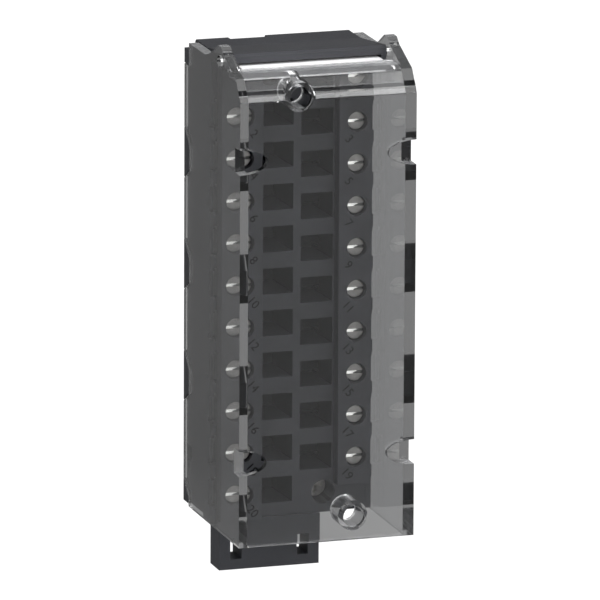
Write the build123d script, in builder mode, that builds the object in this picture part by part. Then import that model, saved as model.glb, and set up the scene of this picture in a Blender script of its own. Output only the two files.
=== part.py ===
from build123d import *
import os

# Frame: millimetres, origin on the rear mating face midway between the two fixing screws,
# +Y points out of the back, -Y to the person who wires the block, +Z is up.

# Terminals: two staggered columns of ten
pitch = 7.5
rows = 10
stagger = 5.5
column_edge = 3.7
top_margin = 5.05
bottom_margin = 4.65
fixing_x = 5.0
fixing_margin = 1.0

# Clear hinged cover
cover_width = 31.8
cover_depth = 32.75
cover_overhang = 0.5
cover_wall = 1.75
cover_front_wall = 1.3
roof_step = 0.2
roof_drop = 4.2
roof_start = 3.0
roof_gap = 1.4
facets = [(0.0, 0.0), (0.7, 1.1), (1.4, 1.9)]
shoulder_depth = 2.7
shoulder_drop = 0.5
arm_rise = 3.35
arm_width = 1.7
arm_front = 1.1
arm_toe_reach = 1.5
arm_toe_drop = 1.15
arm_heel_reach = 4.4
arm_heel_rise = 1.1
rail_drop = 0.1
rail_reach = 8.1
port_bore = 3.85
port_wall = 0.75
port_length = 5.8
notch_reach = 5.0
notch_height = 4.4
notch_depth = 3.0
notch_z = 26.65
scallop_depth = 3.0
scallop_length = 9.3
scallop_top_slope = 3.0
scallop_bottom_slope = 1.8
scallop_pitch = 20.05
scallop_middle_z = 1.5
corner_tab_height = 4.05
rail_notch_depth = 2.6
rail_notch_height = 4.1
rail_tab_height = 2.6

# Dark housings
cover_gap = 0.2
recess_depth = 2.3
land_inset = 3.35
land_margin = 4.95
split_depth = 5.5
ramp_flat = 1.75
lip_reach = 4.8
lip_rise = 1.7
lip_chamfer = 0.45
skirt_drop = 0.8
skirt_wall = 0.85
face_drop = 0.75
hinge_inset = 1.3
hinge_rise = 0.4
hinge_pin = 2.0
hinge_gap = 0.05
hinge_pin_length = 1.3

# Marking strip under the front lip
strip_depth = 3.9
strip_thickness = 1.3
strip_reach = 1.7
strip_sink = 0.4
strip_gap = 0.05
strip_end_gap = 0.3
strip_headroom = 0.5
ledge_end = 2.65
ledge_thickness = 0.4
ledge_setback = 0.2
ledge_root = 0.5

# Low pads on both sides of the front housing, one beside each terminal
pad_rise = 0.12
pad_height = 3.1
pad_offset = 3.0
pad_depth = 5.0
pad_setback = 0.55

# Foot below the housing
foot_right = 4.3
foot_setback = 1.8
foot_thickness = 5.2
foot_drop = 9.2
foot_slot_width = 2.05
foot_slot_height = 3.85
foot_slot_edge = 1.8
foot_slot_inset = 3.05

# Wire entry
mouth_height = 4.6
mouth_edge = 0.4
centre_rib = 1.4
throat = 3.3
throat_depth = 7.6

# Clamp: screw, rising cage and the bar it clamps the wire to
head_radius = 1.62
head_height = 1.2
head_sink = 1.1
head_clearance = 0.1
head_chamfer = 0.15
driver_slot_width = 0.55
driver_slot_depth = 0.7
tip_chamfer = 0.3
thread_radius = 1.5
thread_gap = 0.05
well_gap = 0.18
web = 0.5
cage_width = 5.7
cage_height = 5.3
cage_nut = 1.2
cage_side = 0.8
cage_floor = 1.0
cage_travel = 1.8
cage_gap = 0.2
cage_rear_gap = 0.25
cage_round = 0.5
wire_space = 2.6
bar_thickness = 0.8
bar_height = 2.4
bar_play = 0.7
tip_gap = 0.1

# Plug side
skirt = 1.2
rear_floor = 1.2
socket_block_width = 5.0
chamber_width = 2.6
chamber_height = 2.2
blade = 0.5
blade_length = 3.4
leg_width = 0.8
rear_chamfer = 0.45
rear_notch_left = -8.1
rear_notch_right = -1.35
rear_notch_depth = 1.3
latch_slot_z = -32.2
latch_slot_height = 2.6
latch_slot_depth = 3.0
latch_slot_edge = 0.25

# Captive fixing screws
fixing_hole = 4.2
fixing_head_radius = 1.9
fixing_head_height = 2.2
fixing_radius = 1.25
fixing_waist = 0.9
fixing_thread = 1.0
fixing_boss_wall = 1.3
fixing_boss_setback = 1.2
fixing_pocket = 3.0
fixing_web = 2.2
fixing_gap = 0.15
fixing_cross = 0.6
fixing_cross_length = 2.6
fixing_cross_depth = 1.2
fixing_reach = 4.0

os.makedirs("parts", exist_ok=True)


def save(part, label):
    part.label = label
    export_step(part, f"parts/{label}.step")


def box_between(xs, ys, zs, mode=Mode.ADD):
    centre = [(low + high) / 2 for low, high in (xs, ys, zs)]
    size = [high - low for low, high in (xs, ys, zs)]
    with Locations(tuple(centre)):
        Box(*size, mode=mode)


def front(depth):
    """Y of a plane that lies this deep behind the front face of the cover."""
    return depth - cover_depth


def facing(x, y, z):
    """Plane square to Y, with its normal to the back."""
    return Plane(origin=(x, y, z), x_dir=(1, 0, 0), z_dir=(0, 1, 0))


# Widths
outer = cover_width / 2
inner = outer - cover_wall
half = inner - cover_gap
column_x = half - column_edge
land_edge = column_x - land_inset
leg_x = column_x - cage_width / 2 - cage_gap - leg_width
mouth_low = centre_rib / 2
mouth_high = land_edge - mouth_edge

# Heights
middle_row = (rows - 1) / 2
right_rows = [stagger / 2 + (middle_row - i) * pitch for i in range(rows)]
left_rows = [z - stagger for z in right_rows]
roof_level = right_rows[0] + top_margin
housing_bottom = left_rows[-1] - bottom_margin
cover_bottom = housing_bottom - cover_overhang
land_end_z = right_rows[-1] - land_margin
strip_top = roof_level - strip_sink
ledge_top = strip_top - strip_thickness - strip_gap
face_top = ledge_top + strip_gap - face_drop
hinge_z = roof_level + hinge_rise
lip_height = roof_level + lip_rise
roof_height = strip_top + roof_step
cover_face_top = roof_height - roof_drop
arm_height = roof_height + arm_rise
rail_height = roof_level - rail_drop
leg_z = -cage_height / 2 + leg_width / 2
fixing_places = {
    "top": (-fixing_x, right_rows[0] + fixing_margin),
    "bottom": (fixing_x, left_rows[-1] - fixing_margin),
}

# Stations of the clamp along Y, from the back of the cage to the screw head and the land
split_y = -split_depth
cage_back_y = split_y - cage_rear_gap
window_back_y = cage_back_y - cage_floor
bar_back_y = window_back_y - wire_space
bar_y = bar_back_y - bar_thickness
tip_y = bar_y - tip_gap
window_y = bar_y - bar_play
cage_y = window_y - cage_nut
cavity_y = cage_y - cage_travel - cage_gap
seat_y = cavity_y - web
head_y = seat_y - head_height
land_y = head_y - head_sink
recess_y = land_y + recess_depth

# Stations of the lip, the strip and the hinge
lip_y = land_y - lip_reach
strip_y = lip_y - strip_reach
hinge_y = lip_y + hinge_inset
roof_end_y = strip_y - roof_gap


def scallop(centre_z, gap):
    """Trapezium in the rear edge of a cover wall, drawn in Y and Z; gap shrinks it to a tab."""
    top = centre_z + scallop_length / 2 - gap
    bottom = centre_z - scallop_length / 2 + gap
    depth = scallop_depth - gap
    Polyline(
        (0, top),
        (-depth, top - scallop_top_slope),
        (-depth, bottom + scallop_bottom_slope),
        (0, bottom),
        close=True,
    )


scallop_centres = [scallop_middle_z + k * scallop_pitch for k in (1, 0, -1)]
corner_top = housing_bottom + corner_tab_height


def roof_outline(reach):
    """Front wall and faceted roof in Y and Z; reach draws the two open ends further out."""
    return [
        (front(0), cover_bottom - reach),
        *[(front(depth), cover_face_top + rise) for depth, rise in facets],
        (front(roof_start), roof_height),
        (roof_end_y + reach, roof_height),
        (roof_end_y + reach, cover_bottom - reach),
    ]


# Cover: two side walls with arms, front wall, faceted roof and two screwdriver ports
with BuildPart() as cover:
    with BuildSketch(Plane.YZ.offset(-outer)):
        with BuildLine():
            arm_y = hinge_y - arm_front
            Polyline(
                (0, cover_bottom),
                *roof_outline(0)[: len(facets) + 1],
                (front(shoulder_depth), roof_height - shoulder_drop),
                (arm_y - arm_toe_reach, arm_height - arm_toe_drop),
                (arm_y, arm_height),
                (arm_y + arm_width, arm_height),
                (hinge_y + arm_heel_reach, rail_height + arm_heel_rise),
                (hinge_y + rail_reach, rail_height),
                (-rail_notch_depth, rail_height),
                (-rail_notch_depth, rail_height - rail_notch_height),
                (0, rail_height - rail_notch_height),
                close=True,
            )
        make_face()
        for centre_z in scallop_centres:
            with BuildLine():
                scallop(centre_z, 0)
            make_face(mode=Mode.SUBTRACT)
        with BuildLine():
            Polyline(
                (0, corner_top),
                (-scallop_depth, corner_top - scallop_top_slope),
                (-scallop_depth, cover_bottom),
                (0, cover_bottom),
                close=True,
            )
        make_face(mode=Mode.SUBTRACT)
    extrude(amount=cover_width)
    box_between(
        (-inner, inner),
        (roof_end_y, 0),
        (cover_bottom, arm_height),
        mode=Mode.SUBTRACT,
    )
    with BuildSketch(Plane.YZ.offset(-inner)):
        with BuildLine():
            Polyline(*roof_outline(cover_front_wall), close=True)
        make_face()
        offset(amount=-cover_front_wall, kind=Kind.INTERSECTION, mode=Mode.REPLACE)
    extrude(amount=2 * inner, mode=Mode.SUBTRACT)
    box_between(
        (-inner, inner),
        (front(0), roof_end_y),
        (roof_height, arm_height),
        mode=Mode.SUBTRACT,
    )
    for x, z in fixing_places.values():
        with BuildSketch(facing(x, front(0), z)):
            Circle(port_bore / 2 + port_wall)
        extrude(amount=port_length)
    for x, z in fixing_places.values():
        with BuildSketch(facing(x, front(0), z)):
            Circle(port_bore / 2)
        extrude(amount=port_length, mode=Mode.SUBTRACT)
    for side in (-1, 1):
        for z in (-notch_z, notch_z):
            with BuildSketch(facing(side * outer, front(0), z)):
                Ellipse(notch_reach, notch_height / 2)
            extrude(amount=notch_depth, mode=Mode.SUBTRACT)
    with Locations(Plane.YZ):
        with Locations((hinge_y, hinge_z)):
            Cylinder(hinge_pin / 2 + hinge_gap, cover_width, mode=Mode.SUBTRACT)
save(cover.part, "cover")

# What one terminal on the right takes out of the front housing, at the height of its screw
with BuildPart() as terminal_pocket:
    with Locations(Plane(origin=(column_x, (land_y + seat_y) / 2, 0), z_dir=(0, 1, 0))):
        Cylinder(head_radius + well_gap, seat_y - land_y)
    with Locations(Plane(origin=(column_x, (seat_y + cavity_y) / 2, 0), z_dir=(0, 1, 0))):
        Cylinder(thread_radius + thread_gap, web)
    box_between(
        (column_x - cage_width / 2 - cage_gap, column_x + cage_width / 2 + cage_gap),
        (cavity_y, split_y),
        (-cage_height / 2 - cage_gap, cage_height / 2 + cage_gap),
    )
    box_between(
        (leg_x, column_x),
        (bar_y, split_y),
        (leg_z - leg_width / 2, leg_z + leg_width / 2),
    )
    box_between(
        (leg_x, column_x),
        (bar_y, bar_back_y),
        (leg_z - leg_width / 2, bar_height / 2),
    )
    box_between(
        ((mouth_low + mouth_high) / 2, column_x),
        (bar_back_y, window_back_y),
        (-bar_height / 2, bar_height / 2),
    )
    with BuildSketch(facing((mouth_low + mouth_high) / 2, recess_y, 0)):
        Rectangle(mouth_high - mouth_low, mouth_height)
    with BuildSketch(facing((mouth_low + mouth_high) / 2, recess_y + throat_depth, 0)):
        Rectangle(throat, throat)
    loft()

left_pocket = mirror(terminal_pocket.part, about=Plane.YZ)

# Front housing: lands, wire recess, lip with hinge pins, ledge for the marking strip, and foot
with BuildPart() as front_housing:
    with BuildSketch(Plane.YZ.offset(-half)):
        with BuildLine():
            Polyline(
                (split_y, housing_bottom),
                (land_y, housing_bottom),
                (land_y, roof_level - skirt_drop),
                (lip_y, roof_level - skirt_drop),
                (lip_y, lip_height - lip_chamfer),
                (lip_y + lip_chamfer, lip_height),
                (split_y - ramp_flat, roof_level),
                (split_y, roof_level),
                close=True,
            )
        make_face()
    extrude(amount=2 * half)
    # seat of the marking strip, cut under the lip
    box_between(
        (-half + skirt_wall, half - skirt_wall),
        (lip_y, strip_y + strip_depth + strip_gap),
        (ledge_top, strip_top + strip_headroom),
        mode=Mode.SUBTRACT,
    )
    with BuildSketch(Plane.YZ.offset(-half + ledge_end)):
        with BuildLine():
            Polyline(
                (land_y, face_top),
                (strip_y + ledge_setback, ledge_top - ledge_thickness),
                (strip_y + ledge_setback, ledge_top),
                (land_y + ledge_root, ledge_top),
                (land_y + ledge_root, face_top),
                close=True,
            )
        make_face()
    extrude(amount=2 * (half - ledge_end))
    # wire recess between the lands, and the low corners at the fixing screws
    box_between(
        (-land_edge, land_edge),
        (land_y, recess_y),
        (housing_bottom, face_top),
        mode=Mode.SUBTRACT,
    )
    box_between(
        (land_edge, half),
        (land_y, recess_y),
        (housing_bottom, land_end_z),
        mode=Mode.SUBTRACT,
    )
    with Locations(*[(0, 0, z) for z in right_rows]):
        add(terminal_pocket.part, mode=Mode.SUBTRACT)
    with Locations(*[(0, 0, z) for z in left_rows]):
        add(left_pocket, mode=Mode.SUBTRACT)
    for x, z in fixing_places.values():
        with BuildSketch(facing(x, recess_y, z)):
            Circle(fixing_hole / 2)
        extrude(amount=split_y - fixing_web - recess_y, mode=Mode.SUBTRACT)
        with BuildSketch(facing(x, recess_y, z)):
            Circle(fixing_radius + fixing_gap)
        extrude(amount=split_y - recess_y, mode=Mode.SUBTRACT)
    # foot
    foot_y = land_y + foot_setback
    foot_bottom = housing_bottom - foot_drop
    box_between(
        (-half, foot_right),
        (foot_y, foot_y + foot_thickness),
        (foot_bottom, housing_bottom),
    )
    slot_bottom = foot_bottom + foot_slot_edge
    for slot_x in (-half + foot_slot_inset, foot_right - foot_slot_inset):
        box_between(
            (slot_x - foot_slot_width / 2, slot_x + foot_slot_width / 2),
            (foot_y, foot_y + foot_thickness),
            (slot_bottom, slot_bottom + foot_slot_height),
            mode=Mode.SUBTRACT,
        )
    # pads
    for side, terminal_rows in ((1, right_rows), (-1, left_rows)):
        for z in terminal_rows:
            box_between(
                tuple(sorted((side * half, side * (half + pad_rise)))),
                (land_y + pad_setback, land_y + pad_setback + pad_depth),
                (z - pad_offset - pad_height / 2, z - pad_offset + pad_height / 2),
            )
    # hinge pins at both ends of the lip
    for side in (-1, 1):
        with BuildSketch(Plane.YZ.offset(side * half)):
            with Locations((hinge_y, hinge_z)):
                Circle(hinge_pin / 2)
        extrude(amount=side * hinge_pin_length)
save(front_housing.part, "front_housing")

# Rear housing: hollow skirt round the plug, with tabs that lie flush in the cover's scallops
socket_x = leg_x + leg_width / 2
block_low = socket_x - socket_block_width / 2
block_high = socket_x + socket_block_width / 2
floor_y = split_y + rear_floor
all_rows = [(1, z) for z in right_rows] + [(-1, z) for z in left_rows]

with BuildPart() as rear_housing:
    box_between((-half, half), (split_y, 0), (housing_bottom, roof_level))
    box_between(
        (-half + skirt, half - skirt),
        (floor_y, 0),
        (housing_bottom + skirt, roof_level - skirt),
        mode=Mode.SUBTRACT,
    )
    for side in (-1, 1):
        low, high = sorted((side * block_low, side * block_high))
        box_between((low, high), (split_y, 0), (housing_bottom + skirt, roof_level - skirt))
    for side, z in all_rows:
        low, high = sorted((side * (socket_x - chamber_width / 2), side * (socket_x + chamber_width / 2)))
        centre_z = z + leg_z
        box_between(
            (low, high),
            (floor_y, 0),
            (centre_z - chamber_height / 2, centre_z + chamber_height / 2),
            mode=Mode.SUBTRACT,
        )
        low, high = sorted((side * leg_x, side * (leg_x + leg_width)))
        box_between(
            (low, high),
            (split_y, floor_y),
            (centre_z - leg_width / 2, centre_z + leg_width / 2),
            mode=Mode.SUBTRACT,
        )
    for x, z in fixing_places.values():
        with BuildSketch(facing(x, -fixing_boss_setback, z)):
            Circle(fixing_pocket)
        extrude(amount=fixing_boss_setback, mode=Mode.SUBTRACT)
        with BuildSketch(facing(x, split_y, z)):
            Circle(fixing_radius + fixing_gap + fixing_boss_wall)
        extrude(amount=split_depth - fixing_boss_setback)
        with BuildSketch(facing(x, split_y, z)):
            Circle(fixing_radius + fixing_gap)
        extrude(amount=split_depth, mode=Mode.SUBTRACT)
    # notch in the back edge of the top
    box_between(
        (rear_notch_left, rear_notch_right),
        (-rear_notch_depth - rear_chamfer, 0),
        (roof_level - skirt, roof_level),
        mode=Mode.SUBTRACT,
    )
    # latch slot through each side of the skirt
    box_between(
        (-half, half),
        (-latch_slot_edge - latch_slot_depth, -latch_slot_edge),
        (latch_slot_z - latch_slot_height / 2, latch_slot_z + latch_slot_height / 2),
        mode=Mode.SUBTRACT,
    )
    # tabs
    for side in (-1, 1):
        with BuildSketch(Plane.YZ.offset(side * (half + outer) / 2)):
            for centre_z in scallop_centres:
                with BuildLine():
                    scallop(centre_z, cover_gap)
                make_face()
            with BuildLine():
                Polyline(
                    (0, corner_top - cover_gap),
                    (-scallop_depth + cover_gap, corner_top - cover_gap - scallop_top_slope),
                    (-scallop_depth + cover_gap, housing_bottom),
                    (0, housing_bottom),
                    close=True,
                )
            make_face()
            with Locations((0, rail_height - rail_notch_height + cover_gap)):
                Rectangle(rail_notch_depth - cover_gap, rail_tab_height, align=(Align.MAX, Align.MIN))
        extrude(amount=(outer - half) / 2, both=True)
    top_edge = rear_housing.edges().filter_by(Axis.X).group_by(Axis.Z)[-1].group_by(Axis.Y)[-1]
    chamfer(top_edge, length=rear_chamfer)
save(rear_housing.part, "rear_housing")

# Blank white marking strip
with BuildPart() as label_strip:
    box_between(
        (-half + skirt_wall + strip_end_gap, half - skirt_wall - strip_end_gap),
        (strip_y, strip_y + strip_depth),
        (strip_top - strip_thickness, strip_top),
    )
save(label_strip.part, "label_strip")

# Clamp screw: slotted head and a plain shank for the thread
with BuildPart() as clamp_screw:
    with BuildSketch(Plane.XY):
        with BuildLine():
            Polyline(
                (0, head_y),
                (head_radius - head_chamfer, head_y),
                (head_radius, head_y + head_chamfer),
                (head_radius, seat_y - head_clearance),
                (thread_radius, seat_y - head_clearance),
                (thread_radius, tip_y - tip_chamfer),
                (thread_radius - tip_chamfer, tip_y),
                (0, tip_y),
                close=True,
            )
        make_face()
    revolve(axis=Axis.Y)
    box_between(
        (-head_radius, head_radius),
        (head_y, head_y + driver_slot_depth),
        (-driver_slot_width / 2, driver_slot_width / 2),
        mode=Mode.SUBTRACT,
    )

# Rising cage, open on both sides for the wire and the bar
with BuildPart() as clamp_cage:
    box_between(
        (-cage_width / 2, cage_width / 2),
        (cage_y, cage_back_y),
        (-cage_height / 2, cage_height / 2),
    )
    fillet(clamp_cage.edges().filter_by(Axis.X), radius=cage_round)
    box_between(
        (-cage_width / 2, cage_width / 2),
        (window_y, window_back_y),
        (-cage_height / 2 + cage_side, cage_height / 2 - cage_side),
        mode=Mode.SUBTRACT,
    )
    with BuildSketch(facing(0, cage_y, 0)):
        Circle(thread_radius + thread_gap)
    extrude(amount=cage_nut, mode=Mode.SUBTRACT)

# Contact: bar through the cage, leg to the back and two spring blades for the plug's pin
with BuildPart() as contact:
    bar_end_x = column_x + cage_width / 2
    box_between((leg_x, bar_end_x), (bar_y, bar_back_y), (-bar_height / 2, bar_height / 2))
    box_between(
        (leg_x, leg_x + leg_width),
        (bar_y, bar_back_y),
        (leg_z - leg_width / 2, -bar_height / 2),
    )
    box_between(
        (leg_x, leg_x + leg_width),
        (bar_back_y, floor_y),
        (leg_z - leg_width / 2, leg_z + leg_width / 2),
    )
    blade_height = chamber_height - 2 * cover_gap
    box_between(
        (socket_x - chamber_width / 2 + cover_gap, socket_x + chamber_width / 2 - cover_gap),
        (floor_y, floor_y + blade),
        (leg_z - blade_height / 2, leg_z + blade_height / 2),
    )
    for side in (-1, 1):
        edge = socket_x + side * (chamber_width / 2 - cover_gap)
        box_between(
            tuple(sorted((edge, edge - side * blade))),
            (floor_y, floor_y + blade_length),
            (leg_z - blade_height / 2, leg_z + blade_height / 2),
        )

left_contact = mirror(contact.part, about=Plane.YZ)
for label, shape, places in (
    ("contacts_right", contact.part, right_rows),
    ("contacts_left", left_contact, left_rows),
):
    save(Compound(children=[shape.moved(Location((0, 0, z))) for z in places]), label)

# Terminals are numbered from the top, odd on the right and even on the left
for i in range(rows):
    for side, z, number in ((1, right_rows[i], 2 * i + 1), (-1, left_rows[i], 2 * i + 2)):
        place = Location((side * column_x, 0, z))
        save(clamp_screw.part.moved(place), f"clamp_screw_{number:02d}")
        save(clamp_cage.part.moved(place), f"clamp_cage_{number:02d}")

# Captive fixing screws, reached through the ports of the cover
fixing_seat_y = split_y - fixing_web
with BuildPart() as fixing_screw:
    with BuildSketch(Plane.XY):
        with BuildLine():
            Polyline(
                (0, fixing_seat_y - fixing_head_height),
                (fixing_head_radius, fixing_seat_y - fixing_head_height),
                (fixing_head_radius, fixing_seat_y),
                (fixing_waist, fixing_seat_y),
                (fixing_waist, -fixing_thread),
                (fixing_radius, -fixing_thread),
                (fixing_radius, fixing_reach - tip_chamfer),
                (fixing_radius - tip_chamfer, fixing_reach),
                (0, fixing_reach),
                close=True,
            )
        make_face()
    revolve(axis=Axis.Y)
    with BuildSketch(facing(0, fixing_seat_y - fixing_head_height, 0)):
        Rectangle(fixing_cross_length, fixing_cross)
        Rectangle(fixing_cross, fixing_cross_length)
    extrude(amount=fixing_cross_depth, mode=Mode.SUBTRACT)
for name, (x, z) in fixing_places.items():
    save(fixing_screw.part.moved(Location((x, 0, z))), f"fixing_screw_{name}")
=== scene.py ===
# %% [markdown]
# A removable terminal block: a dark moulded plug with two staggered columns of screw clamps,
# under a clear hinged cover. The solids come from the CAD frame, already at their real size.
# This lesson dresses them: it sets the camera, the light and the stage, gives every solid a
# finish built from shader nodes, and adds the few small things that CAD leaves out.

# %% Load the fixed frame
import math

import bmesh
import bpy
from mathutils import Matrix, Vector


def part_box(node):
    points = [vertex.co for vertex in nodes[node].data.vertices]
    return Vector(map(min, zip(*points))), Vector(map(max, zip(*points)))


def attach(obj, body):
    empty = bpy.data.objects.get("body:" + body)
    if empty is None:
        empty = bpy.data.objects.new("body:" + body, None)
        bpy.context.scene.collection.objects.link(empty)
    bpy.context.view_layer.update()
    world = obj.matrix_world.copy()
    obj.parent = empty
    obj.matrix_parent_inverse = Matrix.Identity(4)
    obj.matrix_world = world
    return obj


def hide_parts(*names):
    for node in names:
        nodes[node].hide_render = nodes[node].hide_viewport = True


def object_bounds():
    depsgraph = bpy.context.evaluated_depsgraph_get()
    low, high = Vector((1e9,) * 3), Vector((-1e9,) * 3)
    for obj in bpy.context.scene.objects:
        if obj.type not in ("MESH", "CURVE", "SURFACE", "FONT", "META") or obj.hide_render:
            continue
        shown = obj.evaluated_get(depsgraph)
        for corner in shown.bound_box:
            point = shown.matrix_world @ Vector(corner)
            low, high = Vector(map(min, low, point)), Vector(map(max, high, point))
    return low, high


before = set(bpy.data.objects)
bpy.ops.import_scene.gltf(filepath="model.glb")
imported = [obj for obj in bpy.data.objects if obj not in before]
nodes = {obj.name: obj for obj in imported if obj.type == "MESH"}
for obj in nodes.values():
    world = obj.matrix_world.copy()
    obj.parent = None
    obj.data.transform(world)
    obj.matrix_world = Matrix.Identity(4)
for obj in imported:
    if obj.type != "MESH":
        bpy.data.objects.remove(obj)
cad_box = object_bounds()
MM = 0.001
print("loaded", len(nodes), "solids, box", cad_box)

# %% [markdown]
# The photograph was taken from far away with a long lens, a little from the left and from above,
# so the block hardly narrows towards its back. The camera stands where a fit to the rows of
# screws puts it: azimuth and elevation turn it round the block, and the roll is a slight tilt.

# %% Camera
AZIMUTH = math.radians(-17.66)
ELEVATION = math.radians(13.60)
ROLL = math.radians(0.29)
DISTANCE = 1820 * MM
LENS = 628.1
LOOK_AT = Vector((0, -15.75, 1.35)) * MM
AIM_RIGHT = 0.383 * MM
AIM_DOWN = 3.738 * MM
NEAREST = 0.05
FARTHEST = 20

away = Vector((
    math.sin(AZIMUTH) * math.cos(ELEVATION),
    -math.cos(AZIMUTH) * math.cos(ELEVATION),
    math.sin(ELEVATION),
))


def axes_facing(away):
    """Right and up of a viewer who looks back along away, level with the floor."""
    right = Vector((0, 0, 1)).cross(away).normalized()
    return right, away.cross(right)


right, up = axes_facing(away)
place = LOOK_AT + away * DISTANCE
aim = LOOK_AT + right * AIM_RIGHT - up * AIM_DOWN
away = (place - aim).normalized()
right, up = axes_facing(away)
tilted_right = right * math.cos(ROLL) + up * math.sin(ROLL)
tilted_up = up * math.cos(ROLL) - right * math.sin(ROLL)

camera_data = bpy.data.cameras.new("camera")
camera_data.lens = LENS
camera_data.clip_start = NEAREST
camera_data.clip_end = FARTHEST
camera = bpy.data.objects.new("camera", camera_data)
turn = Matrix((tilted_right, tilted_up, away)).transposed().to_4x4()
camera.matrix_world = Matrix.Translation(place) @ turn
bpy.context.scene.collection.objects.link(camera)
bpy.context.scene.camera = camera
print("camera at", [round(c, 3) for c in place])

# %% [markdown]
# Light, floor and finishes are all trees of shader nodes, and a tree that is built call by call
# gets long. This class keeps the calls short. Its value for a socket may be a number, a colour
# or another node's output, and feed does what each of them needs.
#
# A ray of light in Cycles knows how often it has bounced, and off what. The Light Path node
# tells, and the light below makes much use of it: clear plastic looks best when the eye and the
# mirrored rays don't see the same room.

# %% A short way to build node trees
ANY_BOUNCE = 0.5


class Nodes:
    """A node tree with short calls: add makes a node, link joins two sockets."""

    def __init__(self, tree):
        self.tree = tree
        self.output = None
        tree.nodes.clear()

    def add(self, kind, **settings):
        node = self.tree.nodes.new("ShaderNode" + kind)
        for name, value in settings.items():
            setattr(node, name, value)
        return node

    def link(self, source, target):
        self.tree.links.new(source, target)

    def feed(self, value, socket):
        """Give a socket a number, a colour or another node's output."""
        if isinstance(value, tuple):
            socket.default_value = (*value, 1)
        elif isinstance(value, (int, float)):
            socket.default_value = value
        else:
            self.link(value, socket)

    def math(self, operation, *values):
        node = self.add("Math", operation=operation)
        for value, socket in zip(values, node.inputs):
            self.feed(value, socket)
        return node.outputs[0]

    def times(self, product, *factors):
        for factor in factors:
            product = self.math("MULTIPLY", product, factor)
        return product

    def choose(self, factor, when_off, when_on):
        """Mix two numbers by a factor of 0 or 1."""
        node = self.add("Mix", data_type="FLOAT")
        for value, place in ((factor, 0), (when_off, 2), (when_on, 3)):
            self.feed(value, node.inputs[place])
        return node.outputs[0]

    def blend(self, factor, first, second):
        """Mix two colours."""
        node = self.add("Mix", data_type="RGBA")
        for value, place in ((factor, 0), (first, 6), (second, 7)):
            self.feed(value, node.inputs[place])
        return node.outputs[2]

    def rescale(self, value, start, end, low, high, curve="LINEAR"):
        """Map start and end to low and high, and hold those beyond them."""
        node = self.add("MapRange", interpolation_type=curve)
        ends = {"From Min": start, "From Max": end, "To Min": low, "To Max": high}
        for name, number in ends.items():
            node.inputs[name].default_value = number
        self.link(value, node.inputs["Value"])
        return node.outputs[0]

    def ramp(self, value, start, end):
        """Rise smoothly from 0 at start to 1 at end."""
        return self.rescale(value, start, end, 0.0, 1.0, "SMOOTHSTEP")

    def coordinates(self, kind="Object"):
        return self.add("TexCoord").outputs[kind]

    def split(self, vector):
        """The X, Y and Z of a vector."""
        node = self.add("SeparateXYZ")
        self.link(vector, node.inputs[0])
        return node.outputs

    def bounces(self, kind, test):
        """1 where the count of a ray's bounces of one kind passes the test, else 0."""
        path = self.add("LightPath")
        return self.math(test, path.outputs[kind + " Depth"], ANY_BOUNCE)

    def from_camera(self):
        """1 for a ray straight from the camera, else 0."""
        return self.add("LightPath").outputs["Is Camera Ray"]

    def seen_through(self):
        """1 for a ray that came through clear plastic and was mirrored nowhere, else 0."""
        passed = self.bounces("Transmission", "GREATER_THAN")
        return self.times(passed, self.bounces("Glossy", "LESS_THAN"))

    def layer(self, share, under, over):
        """Lay a share of one shader over another."""
        node = self.add("MixShader")
        for value, socket in zip((share, under, over), node.inputs):
            self.feed(value, socket)
        return node.outputs[0]

    def show(self, shader, kind="OutputMaterial"):
        """Join a shader to the tree's output, in place of what it showed before."""
        if self.output is None:
            self.output = self.add(kind)
        self.link(shader, self.output.inputs["Surface"])


print("node helpers ready")

# %% [markdown]
# The look of the picture is a product shot: white all round, soft light from above the front.
# Clear plastic shows what lies behind it, so a plain white world would make the cover vanish.
# So the world tells rays apart: what the camera sees directly is white, what it sees through the
# clear cover is a mid grey, and what lights the plastic is a soft glow that is stronger from
# above and in front. What glossy faces mirror is a small studio of its own: grey walls, a bright
# bar high in front, which draws the bright band along the bevelled roof, and a lower card that
# lights the screws. The ends of the bar and the card are heights on a sphere of radius 1, and
# each is a pair, because the light fades in and out.

# %% World light
SEEN_THROUGH = 0.262
KEY_FROM = Vector((0.6, -0.9, 0.75)).normalized()
KEY_NARROWING = 2.0
LAMP = 3.9
AMBIENT = 0.25
STUDIO = 0.3
BAR = 5.2
BAR_ENDS = ((0.6, 0.68), (0.835, 0.72))
CARD = 2.6
CARD_ENDS = ((0.02, 0.1), (0.5, 0.35))
FRONT_FADE = (0.1, -0.2)
WHITE = 1.0

world = bpy.data.worlds.new("studio")
bpy.context.scene.world = world
world.use_nodes = True
sky = Nodes(world.node_tree)
direction = sky.coordinates("Generated")

toward_key = sky.add("VectorMath", operation="DOT_PRODUCT")
toward_key.inputs[1].default_value = KEY_FROM
sky.link(direction, toward_key.inputs[0])
glow = sky.math("MAXIMUM", toward_key.outputs["Value"], 0.0)
glow = sky.math("POWER", glow, KEY_NARROWING)
lamp = sky.math("MULTIPLY_ADD", glow, LAMP, AMBIENT)

_, forward, height = sky.split(direction)
in_front = sky.ramp(forward, *FRONT_FADE)
mirrored = STUDIO
for strength, (bottom, top) in ((BAR, BAR_ENDS), (CARD, CARD_ENDS)):
    band = sky.times(sky.ramp(height, *bottom), sky.ramp(height, *top), in_front, strength)
    mirrored = sky.math("ADD", band, mirrored)

level = sky.choose(sky.seen_through(), mirrored, SEEN_THROUGH)
level = sky.choose(sky.bounces("Diffuse", "GREATER_THAN"), level, lamp)
level = sky.choose(sky.from_camera(), level, WHITE)
background = sky.add("Background")
sky.link(level, background.inputs["Strength"])
sky.show(background.outputs[0], "OutputWorld")
bpy.context.scene.view_settings.view_transform = "Standard"
print("world light from", [round(c, 2) for c in KEY_FROM])

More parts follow.
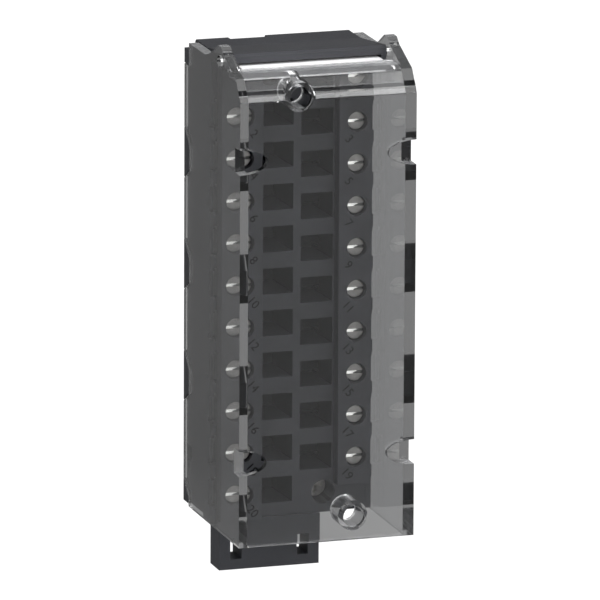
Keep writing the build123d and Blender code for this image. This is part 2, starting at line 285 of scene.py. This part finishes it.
# %% [markdown]
# The floor is a pale sheet that runs under the block and far behind it, so it also fills the
# background. It takes the same decision as the world: nearly white for the camera, mid grey for a
# ray that came through the clear cover, and a soft grey in reflections, darker behind the block
# than in front. A small share of it is an ordinary matt surface, which is what lets a faint
# contact shadow show.

# %% Floor
FLOOR_SIZE = 1.6
FLOOR_DROP = 0.4 * MM
SHADOW_SHARE = 0.08
FLOOR_GLOW = 1.15
FLOOR_IN_FRONT = 0.29
FLOOR_BEHIND = 0.12
FLOOR_FADE = 60 * MM
SPECKS = 400
PAPER = (0.86, 0.9)

sheet = bmesh.new()
bmesh.ops.create_grid(sheet, x_segments=1, y_segments=1, size=FLOOR_SIZE / 2)
bmesh.ops.translate(sheet, verts=sheet.verts, vec=(0, 0, cad_box[0][2] - FLOOR_DROP))
floor_mesh = bpy.data.meshes.new("floor")
sheet.to_mesh(floor_mesh)
sheet.free()
floor = bpy.data.objects.new("floor", floor_mesh)
bpy.context.scene.collection.objects.link(floor)

floor_paint = bpy.data.materials.new("floor_paint")
floor_paint.use_nodes = True
paint = Nodes(floor_paint.node_tree)
_, along, _ = paint.split(paint.coordinates())
mirrored = paint.rescale(along, -FLOOR_FADE, FLOOR_FADE, FLOOR_IN_FRONT, FLOOR_BEHIND)
level = paint.choose(paint.seen_through(), mirrored, SEEN_THROUGH)
level = paint.choose(paint.from_camera(), level, FLOOR_GLOW)
glowing = paint.add("Emission")
paint.link(level, glowing.inputs["Strength"])
specks = paint.add("TexNoise")
specks.inputs["Scale"].default_value = SPECKS
matt = paint.add("BsdfDiffuse")
paint.link(paint.rescale(specks.outputs[0], 0.0, 1.0, *PAPER), matt.inputs["Color"])
paint.show(paint.layer(SHADOW_SHARE, glowing.outputs[0], matt.outputs[0]))
floor_mesh.materials.append(floor_paint)
print("floor at", round(cad_box[0][2] - FLOOR_DROP, 5))

# %% [markdown]
# Every finish starts in the same way: a Principled shader, and noise that is read in Object
# coordinates. The solids keep their origin in the frame, so one millimetre of pattern is one
# millimetre of plastic on every piece. Noise at two sizes does the work: a coarse one for slow
# changes of tone and a fine one for the grain that the mould leaves.

# %% Helpers for finishes
MIDDLE_OF_NOISE = (0.3, 0.7)
FINE_DETAIL = 3.0
EDGE_SAMPLES = 6


def finish(name):
    """A new material with a Principled shader: its node tree and the shader."""
    material = bpy.data.materials.new(name)
    material.use_nodes = True
    tree = Nodes(material.node_tree)
    surface = tree.add("BsdfPrincipled")
    tree.show(surface.outputs[0])
    return material, tree, surface


def noise(tree, size, detail=2.0):
    """Noise whose blotches are about size metres across."""
    node = tree.add("TexNoise")
    node.inputs["Scale"].default_value = 1 / size
    node.inputs["Detail"].default_value = detail
    tree.link(tree.coordinates(), node.inputs["Vector"])
    return node.outputs[0]


def two_tones(tree, size, dark, light):
    """Two colours, blended in blotches about size metres across."""
    factor = tree.rescale(noise(tree, size), *MIDDLE_OF_NOISE, 0.0, 1.0)
    return tree.blend(factor, dark, light)


def colour(tree, surface, size, dark, light):
    """Colour a surface in two tones."""
    tree.link(two_tones(tree, size, dark, light), surface.inputs["Base Color"])


def roughen(tree, surface, pattern, smoothest, roughest):
    """Let a noise vary the roughness of a surface."""
    rough = tree.rescale(pattern, *MIDDLE_OF_NOISE, smoothest, roughest)
    tree.link(rough, surface.inputs["Roughness"])


def relief(tree, surface, height, depth, edge=0.0):
    """Bump the surface by a height pattern; edge rounds sharp edges in the shading."""
    bump = tree.add("Bump")
    bump.inputs["Distance"].default_value = depth
    tree.link(height, bump.inputs["Height"])
    if edge:
        soft = tree.add("Bevel", samples=EDGE_SAMPLES)
        soft.inputs["Radius"].default_value = edge
        tree.link(soft.outputs[0], bump.inputs["Normal"])
    tree.link(bump.outputs[0], surface.inputs["Normal"])


print("finish helpers ready")

# %% [markdown]
# The housings are charcoal moulded plastic with a satin face. Its colour is nearly black, so most
# of what shows is the soft sheen, and that is set by roughness. A spark-eroded mould leaves a
# grain of about a quarter of a millimetre and a few thousandths deep, and slightly rounded
# edges, which catch a thin line of light. The base comes from another mould and is a touch
# darker.

# %% Charcoal plastic
CHARCOAL_DARK = (0.030, 0.031, 0.037)
CHARCOAL_LIGHT = (0.038, 0.040, 0.047)
CHARCOAL_CLOUD = 9 * MM
MOULD_GRAIN = 0.25 * MM
MOULD_DEPTH = 0.006 * MM
MOULD_EDGE = 0.14 * MM
BASE_TONE = 0.94


def charcoal(name, tone=1.0, rough=(0.44, 0.54), sheen=0.5):
    """Charcoal plastic; tone scales its colour, and sheen its reflection."""
    material, tree, surface = finish(name)
    surface.inputs["Specular IOR Level"].default_value = sheen
    dark = tuple(tone * c for c in CHARCOAL_DARK)
    light = tuple(tone * c for c in CHARCOAL_LIGHT)
    colour(tree, surface, CHARCOAL_CLOUD, dark, light)
    grain = noise(tree, MOULD_GRAIN, FINE_DETAIL)
    roughen(tree, surface, grain, *rough)
    relief(tree, surface, grain, MOULD_DEPTH, MOULD_EDGE)
    return material


housing_finish = charcoal("charcoal_housing")
base_finish = charcoal("charcoal_base", tone=BASE_TONE)
print("charcoal plastic ready")

# %% [markdown]
# The cover is clear polycarbonate with a trace of smoke. It has to bend light like the real wall
# does, because the bright and dark bars along its corners are the base's tabs seen through its
# edges. So it is a transmitting Principled shader on the true wall, and not an alpha.
# Polycarbonate has an index of 1.58. The polish varies a little, and slow waves from the flow
# of the melt keep the reflections from being perfect. The faces that look up, such as the flat
# of the roof, have a finely etched grip texture: a thin share of matt white on them, picked by
# the direction of the face.

# %% Clear plastic
SMOKE_THIN = (0.965, 0.97, 0.975)
SMOKE_THICK = (0.94, 0.945, 0.95)
SMOKE_CLOUD = 14 * MM
POLISH_CLOUD = 5 * MM
POLISH = (0.015, 0.035)
FLOW_CLOUD = 11 * MM
FLOW_DEPTH = 0.003 * MM
CLEAR_INDEX = 1.58
FROST = 0.16
FROST_WHITE = (0.85, 0.86, 0.88)
FROST_UPWARD = (0.9, 0.98)

clear_finish, tree, surface = finish("clear_polycarbonate")
colour(tree, surface, SMOKE_CLOUD, SMOKE_THICK, SMOKE_THIN)
roughen(tree, surface, noise(tree, POLISH_CLOUD), *POLISH)
surface.inputs["IOR"].default_value = CLEAR_INDEX
surface.inputs["Transmission Weight"].default_value = 1.0
relief(tree, surface, noise(tree, FLOW_CLOUD), FLOW_DEPTH)
_, _, upward = tree.split(tree.coordinates("Normal"))
haze = tree.add("BsdfDiffuse")
tree.feed(FROST_WHITE, haze.inputs["Color"])
frosted = tree.times(tree.ramp(upward, *FROST_UPWARD), FROST)
tree.show(tree.layer(frosted, surface.outputs[0], haze.outputs[0]))
print("clear plastic ready, index", CLEAR_INDEX)

# %% [markdown]
# The blank marking strip is matt white plastic. White shows no sheen, so the fine grain carries
# the look, with a faint warm and cool drift along its length.

# %% White strip
WHITE_COOL = (0.94, 0.95, 0.96)
WHITE_WARM = (0.96, 0.955, 0.95)
WHITE_CLOUD = 6 * MM
WHITE_GRAIN = 0.3 * MM
WHITE_DEPTH = 0.004 * MM
WHITE_EDGE = 0.1 * MM
WHITE_ROUGH = (0.55, 0.65)

strip_finish, tree, surface = finish("white_strip")
colour(tree, surface, WHITE_CLOUD, WHITE_COOL, WHITE_WARM)
strip_grain = noise(tree, WHITE_GRAIN, FINE_DETAIL)
roughen(tree, surface, strip_grain, *WHITE_ROUGH)
relief(tree, surface, strip_grain, WHITE_DEPTH, WHITE_EDGE)
print("white strip ready")

# %% [markdown]
# The screws are nickel-plated steel, and a turned screw carries fine rings round its own axis.
# The rings are a wave of the distance from that axis: each column of screws has its own centre,
# and its rows are folded onto one by wrapping Z at the pitch.
#
# The floor of the driver slot carries painted light. A wedge at one end, narrowing to the middle,
# is a painted highlight:
# near-white and less metallic. The rest of the slot floor is painted dark as painted shade. The
# slot is too narrow for the studio's light to reach its floor, so a little glow on the wedge is a
# painted glint. It is off for mirrored rays, or the cover's side wall would show it a second time.

# %% Turned screws
NICKEL_DARK = (0.40, 0.39, 0.37)
NICKEL_LIGHT = (0.52, 0.51, 0.49)
NICKEL_CLOUD = 1.2 * MM
NICKEL_SMEAR = 0.5 * MM
NICKEL_ROUGH = (0.28, 0.4)
RING = 0.16 * MM
RING_HEIGHT = 0.0015 * MM
SLOT_HALF = 0.29 * MM
BELOW_FACE = 0.1 * MM
# Painted light in the slot. The wedge of painted highlight runs between the next two distances
# across the slot. It is painted near-white and loses most of its metal look. The rest of the slot
# floor is painted dark as painted shade. A glow of the given strength and colour is a painted
# glint.
GLINT_FROM = -0.3 * MM
GLINT_TO = 0.9 * MM
PAINTED_GLINT = (0.86, 0.86, 0.84)
GLINT_METAL_LOSS = 0.85
SLOT_PAINTED_SHADE = (0.16, 0.16, 0.155)
GLINT = 0.42
GLINT_COLOUR = (1.0, 1.0, 0.97)


def worn_slot(tree, surface, screw_colour, across, upwards, slot_y):
    """Paint shade on the floor of a driver slot, and paint a wedge of it as a bright highlight
    with a glow.
    """
    _, depth, _ = tree.split(tree.coordinates())
    sunk = tree.math("GREATER_THAN", depth, slot_y)
    off_axis = tree.math("ABSOLUTE", upwards)
    in_slot = tree.times(sunk, tree.math("LESS_THAN", off_axis, SLOT_HALF))
    wedge = tree.times(tree.ramp(across, GLINT_TO, GLINT_FROM), SLOT_HALF)
    # The wedge of the slot floor that is painted as a highlight.
    glint_mask = tree.times(in_slot, tree.math("LESS_THAN", off_axis, wedge))
    metal = tree.math("SUBTRACT", 1.0, tree.times(glint_mask, GLINT_METAL_LOSS))
    tree.link(metal, surface.inputs["Metallic"])
    # A glow that is a painted glint; the screw is no lamp.
    shine = tree.times(glint_mask, tree.bounces("Glossy", "LESS_THAN"), GLINT)
    tree.link(shine, surface.inputs["Emission Strength"])
    tree.feed(GLINT_COLOUR, surface.inputs["Emission Color"])
    # Painted shade on the slot floor, and the painted highlight on its wedge.
    return tree.blend(glint_mask, tree.blend(in_slot, screw_colour, SLOT_PAINTED_SHADE), PAINTED_GLINT)


def turned(name, centre, pitch=1.0, slot_y=None):
    """Nickel-plated turned steel; centre is the axis, and rows repeat every pitch along Z."""
    material, tree, surface = finish(name)
    move = tree.add("Mapping")
    move.inputs["Location"].default_value = (-centre[0], 0, -centre[1])
    tree.link(tree.coordinates(), move.inputs["Vector"])
    wrap = tree.add("VectorMath", operation="WRAP")
    wrap.inputs[1].default_value = (1, 1, pitch / 2)
    wrap.inputs[2].default_value = (-1, -1, -pitch / 2)
    tree.link(move.outputs[0], wrap.inputs[0])
    across, _, upwards = tree.split(wrap.outputs[0])
    flat = tree.add("CombineXYZ")
    tree.link(across, flat.inputs["X"])
    tree.link(upwards, flat.inputs["Z"])
    radius = tree.add("VectorMath", operation="LENGTH")
    tree.link(flat.outputs[0], radius.inputs[0])
    rings = tree.math("SINE", tree.times(radius.outputs["Value"], 2 * math.pi / RING))
    relief(tree, surface, tree.times(rings, RING_HEIGHT), 1.0)
    roughen(tree, surface, noise(tree, NICKEL_SMEAR), *NICKEL_ROUGH)
    surface.inputs["Metallic"].default_value = 1.0
    screw_colour = two_tones(tree, NICKEL_CLOUD, NICKEL_DARK, NICKEL_LIGHT)
    # The slot floor gets painted shade and a painted glint.
    if slot_y is not None:
        screw_colour = worn_slot(tree, surface, screw_colour, across, upwards, slot_y)
    tree.link(screw_colour, surface.inputs["Base Color"])
    return material


def screw(number):
    return f"clamp_screw_{number:02d}"


def middle(node):
    """Centre of a node's box in X and Z."""
    low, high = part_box(node)
    return ((low[0] + high[0]) / 2, (low[2] + high[2]) / 2)


right_first, right_next, left_first = (middle(screw(number)) for number in (1, 3, 2))
pitch = right_first[1] - right_next[1]
slot_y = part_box("clamp_screw_01")[0][1] + BELOW_FACE
screw_finishes = {
    1: turned("turned_steel_right", right_first, pitch, slot_y),
    0: turned("turned_steel_left", left_first, pitch, slot_y),
}
print("screws ready, pitch", round(pitch / MM, 3), "mm")

# %% [markdown]
# Cages and contacts are stamped from sheet and plated. Tumbling in the barrel leaves them with a
# fine even grain and slightly rounded edges, so plain noise does for them.

# %% Stamped metal
ZINC = ((0.42, 0.42, 0.43), (0.55, 0.55, 0.56), (0.32, 0.46))
TINNED = ((0.62, 0.52, 0.32), (0.72, 0.63, 0.42), (0.25, 0.4))
STAMPED_CLOUD = 1.5 * MM
STAMPED_GRAIN = 0.2 * MM
STAMPED_DEPTH = 0.003 * MM
STAMPED_EDGE = 0.1 * MM


def plated(name, dark, light, rough):
    """Stamped metal with a tumbled, plated face."""
    material, tree, surface = finish(name)
    colour(tree, surface, STAMPED_CLOUD, dark, light)
    surface.inputs["Metallic"].default_value = 1.0
    grain = noise(tree, STAMPED_GRAIN, FINE_DETAIL)
    roughen(tree, surface, grain, *rough)
    relief(tree, surface, grain, STAMPED_DEPTH, STAMPED_EDGE)
    return material


cage_finish = plated("zinc_plated_cage", *ZINC)
brass_finish = plated("tinned_brass", *TINNED)
print("stamped metal ready")

# %% [markdown]
# A CAD node keeps its mesh, and gets its finish through its object's material slots. Odd
# terminals are on the right and even ones on the left, and each column has its own screw finish,
# because the rings are centred on it.

# %% Give every solid its finish
TERMINALS = 20


def dress(node, material):
    """Put a finish in every material slot of a node's object."""
    piece = nodes[node]
    if not piece.material_slots:
        piece.data.materials.append(material)
    for place in piece.material_slots:
        place.link = "OBJECT"
        place.material = material


dress("rear_housing", base_finish)
dress("cover", clear_finish)
dress("label_strip", strip_finish)
dress("contacts_left", brass_finish)
dress("contacts_right", brass_finish)
for number in range(1, TERMINALS + 1):
    dress(screw(number), screw_finishes[number % 2])
    dress(f"clamp_cage_{number:02d}", cage_finish)
for name in ("fixing_screw_top", "fixing_screw_bottom"):
    dress(name, turned("turned_" + name, middle(name)))
print("dressed", len(nodes), "solids")

# %% [markdown]
# Through the cover's right side the dark block ends a millimetre short of the housing's full
# width: the part that carries the screws is set in, down to a shoulder where the cages' chambers
# begin, and the shoulder has a notch beside each screw. The CAD solid runs at full width there. So
# this piece is a copy of it: merged, because the frame's mesh is loose triangles, and then cut
# by plain boxes with a Boolean, which keeps every other face as the CAD has it.

# %% Set the terminal block in
HOUSING_HALF = 13.95 * MM
SET_IN = 1.02 * MM
SHOULDER_DEPTH = 2.8 * MM
LIP_BOTTOM = 40.75 * MM
BLOCK_BOTTOM = -42.0 * MM
NOTCH_HEIGHT = 4.6 * MM
NOTCH_DEPTH = 1.0 * MM
HEAD_SINK = 1.1 * MM
MARGIN = 1.0 * MM
SAME_POINT = 0.0005 * MM


def boxes(corners):
    """A mesh of closed boxes, each between its lowest and highest corner."""
    made = bmesh.new()
    for low, high in corners:
        low, high = Vector(low), Vector(high)
        cube = bmesh.ops.create_cube(made, size=1)["verts"]
        bmesh.ops.scale(made, verts=cube, vec=high - low)
        bmesh.ops.translate(made, verts=cube, vec=(low + high) / 2)
    mesh = bpy.data.meshes.new("boxes")
    made.to_mesh(mesh)
    made.free()
    return mesh


def cut(piece, corners):
    """Take boxes out of a piece and keep the result as its mesh."""
    cutter = bpy.data.objects.new("cutter", boxes(corners))
    bpy.context.scene.collection.objects.link(cutter)
    step = piece.modifiers.new("cut", "BOOLEAN")
    step.operation = "DIFFERENCE"
    step.solver = "EXACT"
    step.object = cutter
    bpy.context.view_layer.update()
    solved = piece.evaluated_get(bpy.context.evaluated_depsgraph_get())
    result = bpy.data.meshes.new_from_object(solved)
    piece.modifiers.clear()
    piece.data = result
    bpy.data.objects.remove(cutter)


land_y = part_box("clamp_screw_01")[0][1] - HEAD_SINK
shoulder_y = land_y + SHOULDER_DEPTH
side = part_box("rear_housing")[1][0]
land_side = HOUSING_HALF - SET_IN

merged = bmesh.new()
merged.from_mesh(nodes["front_housing"].data)
bmesh.ops.remove_doubles(merged, verts=merged.verts, dist=SAME_POINT)
block_mesh = bpy.data.meshes.new("terminal_housing")
merged.to_mesh(block_mesh)
merged.free()
block = bpy.data.objects.new("terminal_housing", block_mesh)
bpy.context.scene.collection.objects.link(block)
slabs = []
notches = []
for way in (-1, 1):
    near, far = sorted((way * land_side, way * side))
    slabs.append(((near, land_y - MARGIN, BLOCK_BOTTOM), (far, shoulder_y, LIP_BOTTOM)))
for number in range(1, TERMINALS + 1):
    x, z = middle(screw(number))
    near, far = sorted((math.copysign(land_side, x), math.copysign(side, x)))
    notches.append((
        (near, shoulder_y - MARGIN, z - NOTCH_HEIGHT / 2),
        (far, shoulder_y + NOTCH_DEPTH, z + NOTCH_HEIGHT / 2),
    ))
cut(block, slabs)
cut(block, notches)
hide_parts("front_housing")
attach(block, "housing")
print("terminal housing:", len(block.data.polygons), "faces,", len(notches), "notches")

# %% [markdown]
# The wire funnels are deep, and on the real block they look darker than the face round them, apart
# from their floors, which catch the light from above. That darkness is shade, and here it is
# painted: the piece has two material slots, and every face inside the funnels that doesn't look up
# takes the second, a darker charcoal with less sheen, as painted shade.

# %% Painted shade in the wire funnels
FUNNELS_LOW = Vector((-6.5, -14.4, -39.5)) * MM
FUNNELS_HIGH = Vector((6.5, -6.5, 39.5)) * MM
# How dark, and how little sheen, the painted shade in the funnels has.
FUNNEL_SHADE_TONE = 0.3
FUNNEL_SHADE_SHEEN = 0.2
LOOKS_UP = 0.9

block.data.materials.clear()
block.data.materials.append(housing_finish)
block.data.materials.append(charcoal("charcoal_funnel_painted_shade", tone=FUNNEL_SHADE_TONE, sheen=FUNNEL_SHADE_SHEEN))
# Faces in the funnels that don't look up get the painted shade.
for face in block.data.polygons:
    limits = zip(FUNNELS_LOW, face.center, FUNNELS_HIGH)
    inside = all(low < c < high for low, c, high in limits)
    face.material_index = int(inside and face.normal.z < LOOKS_UP)
painted_shade_faces = sum(face.material_index for face in block.data.polygons)
print("painted_shade_faces", painted_shade_faces, "faces in the funnels")

# %% [markdown]
# Each terminal has its number moulded beside its screw, small, dark and set at a slant so that it
# clears the screw's well. A font curve gives the figures, with a hair of thickness. A curve is
# turned into a mesh before it is placed, so that the finished piece sits at the frame's origin
# with its place in its mesh. All twenty figures are one moulding, so they are one piece.

# %% Terminal numbers
FIGURE_HEIGHT = 2.2 * MM
FIGURE_RISE = 0.05 * MM
SLANT = math.radians(-50)
FIGURE_DROP = 3.0 * MM
FIGURE_INWARDS = 1.6 * MM
FIGURE_TONE = 0.05
FIGURE_ROUGH = (0.5, 0.6)
FIGURE_SHEEN = 0.02
SAME_CORNER = 0.001 * MM

figures = bmesh.new()
stand = Matrix.Rotation(math.pi / 2, 4, "X") @ Matrix.Rotation(SLANT, 4, "Z")
for number in range(1, TERMINALS + 1):
    curve = bpy.data.curves.new("figure", "FONT")
    curve.body = str(number)
    curve.size = FIGURE_HEIGHT
    curve.align_x = "CENTER"
    curve.align_y = "CENTER"
    curve.extrude = FIGURE_RISE
    shape = bpy.data.objects.new("figure", curve)
    bpy.context.scene.collection.objects.link(shape)
    bpy.context.view_layer.update()
    mesh = bpy.data.meshes.new_from_object(shape)
    x, z = middle(screw(number))
    inwards = -math.copysign(FIGURE_INWARDS, x)
    centre = Vector((x + inwards, land_y, z - FIGURE_DROP))
    mesh.transform(Matrix.Translation(centre) @ stand)
    figures.from_mesh(mesh)
    bpy.data.objects.remove(shape)
    bpy.data.curves.remove(curve)
    bpy.data.meshes.remove(mesh)
bmesh.ops.remove_doubles(figures, verts=figures.verts, dist=SAME_CORNER)
figures_mesh = bpy.data.meshes.new("terminal_numbers")
figures.to_mesh(figures_mesh)
figures.free()
numbers = bpy.data.objects.new("terminal_numbers", figures_mesh)
bpy.context.scene.collection.objects.link(numbers)
figures_mesh.materials.append(
    charcoal("charcoal_numbers", tone=FIGURE_TONE, rough=FIGURE_ROUGH, sheen=FIGURE_SHEEN)
)
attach(numbers, "housing")
print("numbers:", len(figures_mesh.polygons), "faces")
